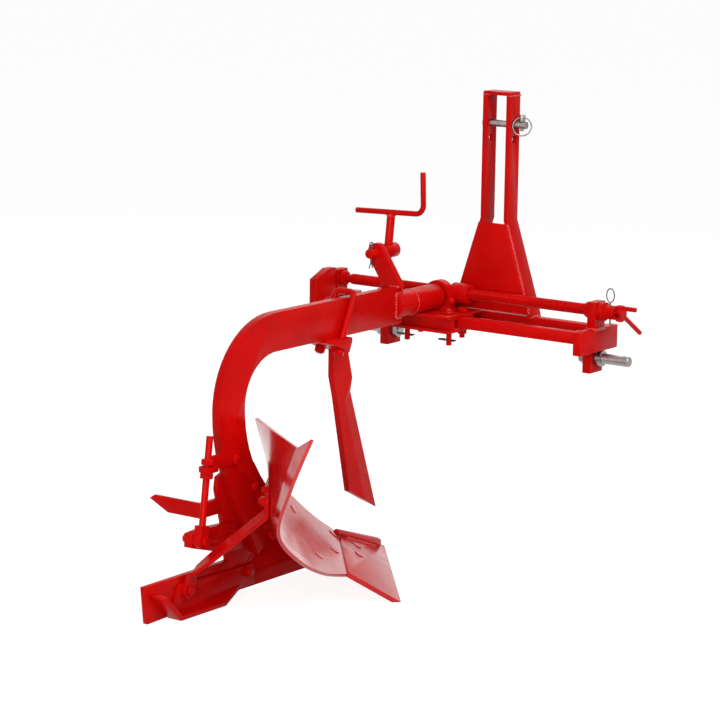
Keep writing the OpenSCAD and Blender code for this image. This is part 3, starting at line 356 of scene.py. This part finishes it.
# Bolts through the board, as parts of the way along it and up it
BRACE_BOLT = (0.6, 0.68)
BOARD_BOLTS = [(0.5, 0.085), (0.7, 0.21), (0.17, 0.42), (0.19, 0.63), BRACE_BOLT, (0.12, 0.08)]
# Bolts through the share, from its point along its edge and up its slope
SHARE_BOLTS = [(168, 84), (242, 84)]


def share_axes():
    """Along the share's cutting edge, up its slope, and into it."""
    ca, sa = math.cos(SHARE_ANGLE), math.sin(SHARE_ANGLE)
    cs, ss = math.cos(SHARE_SLOPE), math.sin(SHARE_SLOPE)
    return Vector((sa, -ca, 0)), Vector((-ca * cs, -sa * cs, ss)), Vector((-ca * ss, -sa * ss, -cs))


SHARE_EDGE, SHARE_UP, SHARE_IN = share_axes()


def land_axes():
    """Along the share's land edge from the point, and out across it."""
    lean = math.atan2(SHARE_WIDTH, LAND_RUN)
    along = SHARE_EDGE * math.cos(lean) + SHARE_UP * math.sin(lean)
    return along, SHARE_UP * math.cos(lean) - SHARE_EDGE * math.sin(lean)


def spline(points, t):
    """A point of the smooth curve through the points, at t from 0 to 1."""
    w = t * (len(points) - 1)
    i = max(0, min(len(points) - 2, math.floor(w)))
    t = w - i
    a, b, c, d = (Vector(points[max(0, min(len(points) - 1, i + k))]) for k in (-1, 0, 1, 2))
    square = 2 * a - 5 * b + 4 * c - d
    cube = 3 * b - a - 3 * c + d
    return (2 * b + (c - a) * t + square * t * t + cube * t * t * t) / 2


def board_face(s, t):
    """A point of the mouldboard's face; s runs along it from 0 to 1, and t up it."""
    ear_at, belly, ear_drop = 7 / 8, 12, 22
    fold = max(0, min(s / ear_at, (1 - s) / (1 - ear_at))) * t * t * t
    bow = belly * math.sin(math.pi * s) * math.sin(math.pi * t) + belly * fold
    return (spline(SHIN, t) * (1 - s) + spline(TAIL, t) * s
            + Vector((-bow * math.cos(SHARE_ANGLE), -bow * math.sin(SHARE_ANGLE), GROUND - ear_drop * fold)))


def board_back(s, t):
    """The direction from the face to the back."""
    e = 0.002
    along = board_face(s + e, t) - board_face(s - e, t)
    return along.cross(board_face(s, t + e) - board_face(s, t - e)).normalized()


def board_point(s, t, depth):
    """A point at a depth in the sheet, whose foot ends just above the share, set back from its face."""
    foot, step, fade = SHARE_WIDTH + 0.3, 2.2, 36
    point = board_face(s, t) + board_back(s, t) * depth
    height = (point - SHARE_TIP).dot(SHARE_UP)
    set_back = step * max(0.0, 1 - max(0.0, height - foot) / fade) ** 2
    return point + SHARE_UP * max(0.0, foot - height) + SHARE_IN * set_back


def mouldboard_sheet():
    cols, rows = 56, 64
    thick, face_edge, back_edge = 7.0, 1.2, 1.0
    # How far the outer layers' rims are drawn in, along the sheet and as a part of that up it
    inset, inset_up = 0.0035, 0.8
    points = []
    for depth, drawn in ((0.0, inset), (face_edge, 0.0), (thick - back_edge, 0.0), (thick, inset)):
        for j in range(rows + 1):
            t = inset_up * drawn + (1 - 2 * inset_up * drawn) * j / rows
            for i in range(cols + 1):
                points.append(board_point(drawn + (1 - 2 * drawn) * i / cols, t, depth))
    wide = cols + 1
    skin = wide * (rows + 1)
    back = 3 * skin
    faces = []
    for j in range(rows):
        for i in range(cols):
            a = j * wide + i
            faces.append((a, a + 1, a + wide + 1, a + wide))
            faces.append((back + a, back + a + wide, back + a + wide + 1, back + a + 1))
    rim = (list(range(wide)) + [j * wide + cols for j in range(1, rows + 1)]
           + [rows * wide + i for i in range(cols - 1, -1, -1)] + [j * wide for j in range(rows - 1, 0, -1)])
    for first in (0, skin, 2 * skin):
        for k, a in enumerate(rim):
            b = rim[(k + 1) % len(rim)]
            faces.append((first + a, first + skin + a, first + skin + b, first + b))
    bm = bmesh.new()
    bm.from_mesh(plain_mesh("sheet", points, faces))
    # The two middle layers have only their rims
    loose = [v for v in bm.verts if not v.link_faces]
    bmesh.ops.delete(bm, geom=loose, context="VERTS")
    bmesh.ops.recalc_face_normals(bm, faces=bm.faces)
    stand_in("mouldboard_sheet", mesh_from("mouldboard_sheet", bm), "mouldboard")


def bolt_head(place, inwards, radius):
    """The painted head of a countersunk bolt, which stands a little proud of the sheet."""
    side = inwards.orthogonal().normalized()
    up = inwards.cross(side)
    # Part of the radius, and depth below the face
    profile = ((1.0, 0.4), (1.0, -1.0), (0.97, -1.35), (0.90, -1.5), (0.5, -1.7), (0.15, -1.75))
    rings = [ring_of(place + inwards * depth, side, up, radius * part, 36) for part, depth in profile]
    return loft("head", rings)


def sunk_heads():
    board_head_r, share_head_r = 10.0, 11.0
    heads = [bolt_head(board_face(s, t), board_back(s, t), board_head_r) for s, t in BOARD_BOLTS]
    for run, rise in SHARE_BOLTS:
        heads.append(bolt_head(SHARE_TIP + SHARE_EDGE * run + SHARE_UP * rise, SHARE_IN, share_head_r))
    add_piece("sunk_heads", joined("sunk_heads", heads), "red_board", BODY_OF["mouldboard"])


def share_bar():
    """The bar that lies on the share along its land side, chisel-cut in front."""
    along, across = land_axes()
    inset = 9.5
    # Distance from the point, height above the share, width
    stations = ((38, 3, 9), (42, 9, 12), (50, 15.5, 14), (60, 16, 14), (226, 9, 14))
    section = ((0.5, -0.05), (0.5, 0.72), (0.28, 1.0), (-0.28, 1.0), (-0.5, 0.72), (-0.5, -0.05))
    rings = []
    for run, tall, wide in stations:
        centre = SHARE_TIP + along * run - across * inset
        rings.append([centre - across * (side * wide) - SHARE_IN * (up * tall) for side, up in section])
    stand_in("share_bar", joined("share_bar", [loft("bar", rings)], edge_width=1.2), "bar_point")


# The other finer pieces


def coulter_knife():
    """The coulter's flat shank, whose blade is ground thin along its front edge on both faces."""
    # How far each corner lies before the shank's rear edge and below its top, round by the front
    corners = [(0, 0), (45, 0), (45, 74), (68, 156), (69, 189), (168, 458), (120.5, 433.5), (63, 404),
               (13, 190), (0, 146)]
    ground_from = (42.5, 210)
    # The corners at the ends of the ground edge, and how much is ground off there on each side
    blade = (4, 5)
    off_left, off_right = 6.9, 5.3
    low, high = box_mm("coulter")
    count = len(corners)
    points, faces = [], []
    for flat, edge in ((low.x, low.x + off_left), (high.x, high.x - off_right)):
        for k, (before, below) in enumerate(corners + [ground_from]):
            points.append(Vector((edge if k in blade else flat, low.y + before, high.z - below)))
    for first in (0, count + 1):
        inner = first + count
        faces.append([first + k for k in range(4)] + [inner] + [first + k for k in range(6, count)])
        faces.append([first + 3, first + 4, inner])
        faces.append([first + 4, first + 5, first + 6, inner])
    for k in range(count):
        after = (k + 1) % count
        faces.append([k, after, after + count + 1, k + count + 1])
    knife = joined("coulter_knife", [plain_mesh("knife", points, faces)], edge_width=0.7)
    stand_in("coulter_knife", knife, "coulter", sharp=math.radians(5))


def brace_path():
    """The brace's points, each with the way that its flat side faces."""
    steps = 6
    heel_bolt = Vector((-101.4, -905.0, -384.0))
    foot = Vector((0, 0.34, 0.94))
    aside = Vector((-1, 0, 0))
    upward = Vector((-0.38, -0.65, 0.66))
    behind_face, foot_long, head_long = 12, 34, 27
    back = board_back(*BRACE_BOLT)
    board_bolt = board_face(*BRACE_BOLT) + back * behind_face
    span = (board_bolt - heel_bolt).normalized()
    head = (span - back * span.dot(back)).normalized()
    leave = heel_bolt + foot * foot_long
    arrive = board_bolt - head * head_long
    run = (arrive - leave).normalized()
    stations = [(heel_bolt - foot * 17, aside), (heel_bolt, aside), (heel_bolt + foot * 24, aside),
                (leave, aside.lerp(upward, 0.35)), (leave + run * 14, aside.lerp(upward, 0.75)),
                (leave + run * 60, upward), (arrive - run * 60, upward),
                (arrive - run * 12, upward.lerp(back, 0.4)), (arrive, upward.lerp(back, 0.75)),
                (arrive + head * 12, back), (board_bolt, back), (board_bolt + head * 16, back)]
    path = []
    for (point, facing), (next_point, next_facing) in zip(stations, stations[1:]):
        for step in range(steps):
            path.append((point.lerp(next_point, step / steps), facing.lerp(next_facing, step / steps)))
    path.append(stations[-1])
    return path


def brace_bar():
    """The flat bar from the heel bolt to the mouldboard's back, bent at both ends and twisted between."""
    half_wide, half_thick = 15.0, 4.0
    section = ((-1, -0.7), (-0.93, -1), (0.93, -1), (1, -0.7), (1, 0.7), (0.93, 1), (-0.93, 1), (-1, 0.7))
    path = brace_path()
    last = len(path) - 1
    rings = []
    for k, (point, facing) in enumerate(path):
        ahead = (path[min(last, k + 1)][0] - path[max(0, k - 1)][0]).normalized()
        thick = (facing - ahead * facing.dot(ahead)).normalized()
        wide = ahead.cross(thick)
        # Both ends are cut round
        from_end = min((point - path[0][0]).length, (point - path[last][0]).length)
        cut = half_wide * math.sqrt(max(0.05, 1 - max(0.0, 1 - from_end / half_wide) ** 2))
        rings.append([point + wide * (a * cut) + thick * (b * half_thick) for a, b in section])
    stand_in("brace_bar", joined("brace_bar", [loft("brace", rings)]), "tail_brace")


def tommy_rod():
    """The bent bar that turns the cross screw: a handle, a short arm to the hub and a long one past it."""
    rod_r, bend_r, bend_steps = 5.0, 9.0, 8
    handle, short_arm, long_arm = 51, 31, 97
    past_screw = 6.0
    slope = Vector((0, 0.843, -0.539))
    hub = SCREW_AXIS + RIGHT * (box_mm("cross_screw")[1].x + past_screw)
    corner = hub - slope * short_arm
    path = [corner + RIGHT * handle]
    for k in range(bend_steps + 1):
        a = math.pi / 2 * k / bend_steps
        path.append(corner + RIGHT * (bend_r * (1 - math.sin(a))) + slope * (bend_r * (1 - math.cos(a))))
    path += [hub, hub + slope * long_arm]
    rod = sweep("rod", resample(path, 2.0), rod_r, 20)
    stand_in("tommy_rod", joined("tommy_rod", [rod]), "tommy_bar")


def spring_pin():
    """The sprung wire pin through the hub: two stems that cross under an oval eye."""
    wire_r, lean, neck, down = 1.25, 0.6, 16, 24
    eye_wide, eye_tall, eye_up = 9.5, 14.5, 36
    # The eye stays open at its foot: a full turn has 26.4 steps, and its 25 points span 24 of them
    eye_points, first_step, full_turn = 25, 0.7, 26.4
    low, high = box_mm("screw_split_pins")
    pin = SCREW_AXIS + RIGHT * ((low.x + high.x) / 2)
    path = [pin - UP * down, pin - RIGHT * lean + UP * neck]
    for k in range(eye_points):
        a = -math.pi / 2 + 2 * math.pi * (k + first_step) / full_turn
        path.append(pin + RIGHT * (eye_wide * math.cos(a)) + UP * (eye_up + eye_tall * math.sin(a)))
    path += [pin + RIGHT * lean + UP * neck, pin + RIGHT * (2 * lean) - UP * down, pin + Vector((7, 0, -34))]
    wire = sweep("wire", resample(path, 1.2), wire_r, 10)
    stand_in("screw_spring_pin", joined("screw_spring_pin", [wire]), "screw_split_pins")


# Weld beads, gathered by the body that they ride on

BEADS = {}
BEAD_PITCH = 6.2


def weld(body, points, size):
    """A hand-laid bead: half sunk in the joint, with ripples that overlap and a size that wanders."""
    # Radians per millimetre at which the ripples' spacing, the size and the roundness wander
    spacing_rate, size_rate, round_rate = 0.310, 0.095, 0.260
    # Parts of the size: in the valleys, what a ripple adds, and where the bead starts and stops
    valley, ripple_high, start_size = 0.80, 0.30, 0.45
    start_run = 4.0
    points = resample(points, BEAD_PITCH / 4)
    # Each bead wanders in its own way, by the place where it starts
    phase = sum(points[0]) * 0.037
    total = sum((q - p).length for p, q in zip(points, points[1:]))

    def radius(run, a):
        ripple = abs(math.sin(math.pi * run / BEAD_PITCH + 0.4 * math.sin(phase + run * spacing_rate)))
        swell = 1 + 0.10 * math.sin(phase + run * size_rate) + 0.06 * math.sin(run * round_rate + 2 * a)
        end = min(1.0, start_size + min(run, total - run) / start_run)
        return size * end * swell * (valley + ripple_high * ripple)

    BEADS.setdefault(body, []).append(sweep("bead", points, radius, 10))


def lay_welds():
    """Joins each body's beads into one piece with no sharp edges."""
    for body, meshes in BEADS.items():
        name = "welds_" + body
        add_piece(name, joined(name, meshes), "red_frame", body, paint=BEAD_PAINT, sharp=math.pi)


def box_seam(first, second, size=3.8):
    """A bead round the rectangle where two square-cut plates meet; it rides on the first one's body."""
    (low_a, high_a), (low_b, high_b) = box_mm(first), box_mm(second)
    low = [max(pair) for pair in zip(low_a, low_b)]
    high = [min(pair) for pair in zip(high_a, high_b)]
    # They touch on the axis where their boxes share the least
    touch = max(range(3), key=lambda k: low[k] - high[k])
    u, v = (k for k in range(3) if k != touch)
    corners = []
    for at_u, at_v in ((low, low), (high, low), (high, high), (low, high), (low, low)):
        point = Vector((0, 0, 0))
        point[touch] = (low[touch] + high[touch]) / 2
        point[u] = at_u[u]
        point[v] = at_v[v]
        corners.append(point)
    weld(BODY_OF[first], corners, size)


def ring_seam(body, centre, axis, radius, size):
    side = axis.orthogonal().normalized()
    ring = ring_of(centre, side, axis.cross(side), radius, 48)
    weld(body, ring + ring[:1], size)


def mast_welds():
    """The gusset's slanting edges, and the bars' feet on the front cross bar."""
    size = 3.4
    foot_wide = 11.0
    gusset_low, gusset_high = box_mm("mast_gusset")
    bar_low, bar_high = box_mm("front_cross_bar")
    strap_edge = box_mm("mast_top_strap")[1].x
    outer = box_mm("mast_right_bar")[1].x
    inner = outer - foot_wide
    front, back = bar_high.y, bar_low.y
    for side in (-1, 1):
        slant = [Vector((side * gusset_high.x, gusset_high.y, gusset_low.z)),
                 Vector((side * strap_edge, gusset_high.y, gusset_high.z))]
        weld("headstock", slant, size)
        around = [(inner, back), (outer, back), (outer, front), (inner, front), (inner, back)]
        weld("headstock", [Vector((side * x, y, bar_high.z)) for x, y in around], size)


def beam_welds():
    """The swivel tube let into the beam's front end, and a seam round the tube."""
    # Height above the tube's axis at which its skin leaves the beam's sides
    rise = 25.6
    above_tube, corner_in, seam_ahead, sunk = 0.6, 1.0, 40.0, 0.1
    tube_low, tube_high = box_mm("swivel_tube")
    beam_low, beam_high = box_mm("beam")
    axis = (tube_low + tube_high) / 2
    tube_r = (tube_high.x - tube_low.x) / 2
    half_beam = (beam_high.x - beam_low.x) / 2
    front, back = beam_high.y, tube_low.y
    for side in (-1, 1):
        face = axis.x + side * half_beam
        around = [(front, rise), (back, rise), (back, -rise), (front, -rise)]
        weld("beam_unit", [Vector((face, y, axis.z + up)) for y, up in around], size=4.2)
    edge = half_beam - corner_in
    foot, top = axis.z + rise + above_tube, beam_high.z - corner_in
    over = [(-edge, foot), (-edge, top), (edge, top), (edge, foot)]
    weld("beam_unit", [Vector((axis.x + x, front, z)) for x, z in over], size=3.0)
    seam_centre = Vector((axis.x, front + seam_ahead, axis.z))
    ring_seam("beam_unit", seam_centre, FORWARD, tube_r - sunk, size=1.6)


def crank_weld():
    """The seam where the spindle meets the crank's handle."""
    lean = math.radians(5)
    spindle = Vector((math.sin(lean), 0, math.cos(lean)))
    spindle_foot = Vector((-158.4, -176.0, 112.0))
    handle_up, spindle_r = 173.6, 8.8
    ring_seam("crank", spindle_foot + spindle * handle_up, spindle, spindle_r, size=2.0)


def body_welds():
    """A bead down the depth skid, and two along the bar on the share."""
    skid_low, skid_high = box_mm("depth_skid")
    frog_side = box_mm("frog")[0].x
    from_rear, from_end = 8, 1
    ends = (skid_low.z + from_end, skid_high.z - from_end)
    weld("plough_body", [Vector((frog_side, skid_low.y + from_rear, z)) for z in ends], size=3.0)
    along, across = land_axes()
    for inset in (2.5, 16.6):
        weld("plough_body", [SHARE_TIP + along * run - across * inset for run in (60, 190)], size=2.2)


def structure_welds():
    """The beads that the photograph shows, and their mirror images on the hidden side."""
    for bar in ("front_cross_bar", "rear_cross_bar"):
        box_seam(bar, "right_end_plate")
        box_seam(bar, "left_end_plate")
        box_seam("left_drop_plate", bar)
    box_seam("right_bearing_plate", "right_end_plate")
    box_seam("right_drop_plate", "right_end_plate")
    box_seam("mast_top_strap", "mast_right_bar", size=2.0)
    box_seam("mast_top_strap", "mast_left_bar", size=2.0)
    box_seam("pivot_lug", "carriage_top_plate")
    box_seam("lower_swivel_lug", "carriage_top_plate")
    box_seam("crank_arm", "beam")
    mast_welds()
    beam_welds()
    crank_weld()
    body_welds()


# The CAD nodes' own looks

# Width in millimetres of the rounding on the edges of each node
ROUNDED = {
    3.0: ["front_cross_bar", "rear_cross_bar"],
    1.6: ["beam", "right_end_plate", "left_end_plate", "mast_left_bar", "mast_right_bar",
          "right_drop_plate", "left_drop_plate", "right_bearing_plate", "left_bearing_plate"],
    1.0: ["mast_top_strap", "mast_gusset", "carriage_top_plate", "carriage_bottom_plate", "crank_arm",
          "pivot_lug", "lower_swivel_lug", "lower_swivel", "nut_boss", "swivel_tube", "trunnion_block",
          "pitch_bracket", "frog", "frog_arm", "share", "landside", "heel_shoe", "depth_skid",
          "coulter_clamp", "crank_handle", "crank_spindle", "screw_collars", "pitch_rod"],
    0.7: ["lower_link_nuts", "carriage_bolts", "pivot_bolt", "coulter_bolts", "pitch_bolts",
          "pitch_nuts", "body_bolts", "carriage_pins", "lower_link_pins", "top_link_pin", "lynch_pin"],
}


def paint_nodes():
    for name, obj in NODES.items():
        obj.data.materials.clear()
        obj.data.materials.append(MATERIALS[SLOT_OF[name]])
        obj.data.shade_smooth()
        obj.data.set_sharp_from_angle(angle=SHARP)


def round_nodes():
    for width, names in ROUNDED.items():
        for name in names:
            rounded(name, width)


# Stage, light and camera


def seen_ray(tree):
    """1 for rays that show the background: straight from the camera, mirrored or refracted."""
    ray = tree.nodes.new("ShaderNodeLightPath")
    value = ray.outputs["Is Camera Ray"]
    for kind in ("Is Glossy Ray", "Is Transmission Ray"):
        either = tree.nodes.new("ShaderNodeMath")
        either.operation = "MAXIMUM"
        tree.links.new(value, either.inputs[0])
        tree.links.new(ray.outputs[kind], either.inputs[1])
        value = either.outputs[0]
    return value


def grey_shader(tree, kind, grey):
    """A shader node of a kind in a grey, where 1 is white."""
    node = tree.nodes.new(kind)
    node.inputs["Color"].default_value = (grey, grey, grey, 1)
    return node


def connect(tree, lighting, seen, output_kind):
    """Sends out one shader for rays that light the plough, and another for rays that show the background."""
    pick = tree.nodes.new("ShaderNodeMixShader")
    tree.links.new(seen_ray(tree), pick.inputs[0])
    tree.links.new(lighting.outputs[0], pick.inputs[1])
    tree.links.new(seen.outputs[0], pick.inputs[2])
    tree.links.new(pick.outputs[0], tree.nodes.new(output_kind).inputs["Surface"])


def stage_floor():
    """A white floor just under the plough, which keeps its faint shadow."""
    size, below = 60.0, 0.0005
    bounce, shadow_grey, glow_level = 0.60, 0.35, 0.885
    bpy.ops.mesh.primitive_plane_add(size=size, location=(0, 0, GROUND * MM - below))
    floor = bpy.context.object
    floor.name = "stage_floor"
    mat = bpy.data.materials.new("stage_white")
    mat.use_nodes = True
    tree = mat.node_tree
    tree.nodes.clear()
    shadowed = grey_shader(tree, "ShaderNodeBsdfDiffuse", shadow_grey)
    glow = grey_shader(tree, "ShaderNodeEmission", 1.0)
    glow.inputs["Strength"].default_value = glow_level
    white = tree.nodes.new("ShaderNodeAddShader")
    tree.links.new(shadowed.outputs[0], white.inputs[0])
    tree.links.new(glow.outputs[0], white.inputs[1])
    connect(tree, grey_shader(tree, "ShaderNodeBsdfDiffuse", bounce), white, "ShaderNodeOutputMaterial")
    floor.data.materials.append(mat)


def studio_world(level):
    world = bpy.data.worlds.new("studio")
    bpy.context.scene.world = world
    world.use_nodes = True
    tree = world.node_tree
    tree.nodes.clear()
    soft = grey_shader(tree, "ShaderNodeBackground", 0.8)
    soft.inputs["Strength"].default_value = level
    white = grey_shader(tree, "ShaderNodeBackground", 1.0)
    white.inputs["Strength"].default_value = 1.0
    connect(tree, soft, white, "ShaderNodeOutputWorld")


def direction(azimuth, elevation):
    """The way from the plough to a place round it: azimuth 0 is straight behind it, 90 is to its right."""
    a, e = math.radians(azimuth), math.radians(elevation)
    return Vector((math.sin(a) * math.cos(e), -math.cos(a) * math.cos(e), math.sin(e)))


def softbox(name, azimuth, elevation, distance, size, power):
    """An area light aimed at the plough's middle."""
    away = direction(azimuth, elevation)
    lamp = bpy.data.lights.new(name, "AREA")
    lamp.shape = "RECTANGLE"
    lamp.size, lamp.size_y = size
    lamp.energy = power
    obj = bpy.data.objects.new(name, lamp)
    obj.location = (cad_low + cad_high) / 2 + away * distance
    obj.rotation_mode = "QUATERNION"
    obj.rotation_quaternion = (-away).to_track_quat("-Z", "Y")
    bpy.context.scene.collection.objects.link(obj)


def photo_camera():
    """The camera that was found by fitting the plough's known lines to the photograph."""
    photo_px, focal_px, sensor = 720, 2740.0, 36.0
    azimuth, elevation, roll = 36.0, 10.8, math.radians(0.85)
    place = Vector((3.241, -4.940, 1.082))
    ahead = -direction(azimuth, elevation)
    level = ahead.cross(UP).normalized()
    over = level.cross(ahead)
    right = level * math.cos(roll) + over * math.sin(roll)
    up = over * math.cos(roll) - level * math.sin(roll)
    data = bpy.data.cameras.new("camera")
    data.sensor_width = sensor
    data.lens = focal_px * sensor / photo_px
    data.clip_start, data.clip_end = 0.1, 100
    cam = bpy.data.objects.new("camera", data)
    turn = Matrix((right, up, -ahead)).transposed()
    cam.matrix_world = Matrix.Translation(place) @ turn.to_4x4()
    bpy.context.scene.collection.objects.link(cam)
    bpy.context.scene.camera = cam


paint_nodes()
round_nodes()
cross_screw_thread()
mouldboard_sheet()
sunk_heads()
coulter_knife()
share_bar()
brace_bar()
tommy_rod()
spring_pin()
structure_welds()
lay_welds()

stage_floor()
studio_world(0.32)
softbox("key", azimuth=80, elevation=40, distance=3.2, size=(2.2, 2.2), power=56)
softbox("fill", azimuth=18, elevation=10, distance=3.6, size=(2.0, 1.6), power=57)
softbox("top", azimuth=10, elevation=88, distance=3.0, size=(2.6, 2.6), power=12)
softbox("back", azimuth=200, elevation=40, distance=3.6, size=(2.4, 1.6), power=22)
photo_camera()

bpy.context.scene.view_settings.view_transform = "Standard"
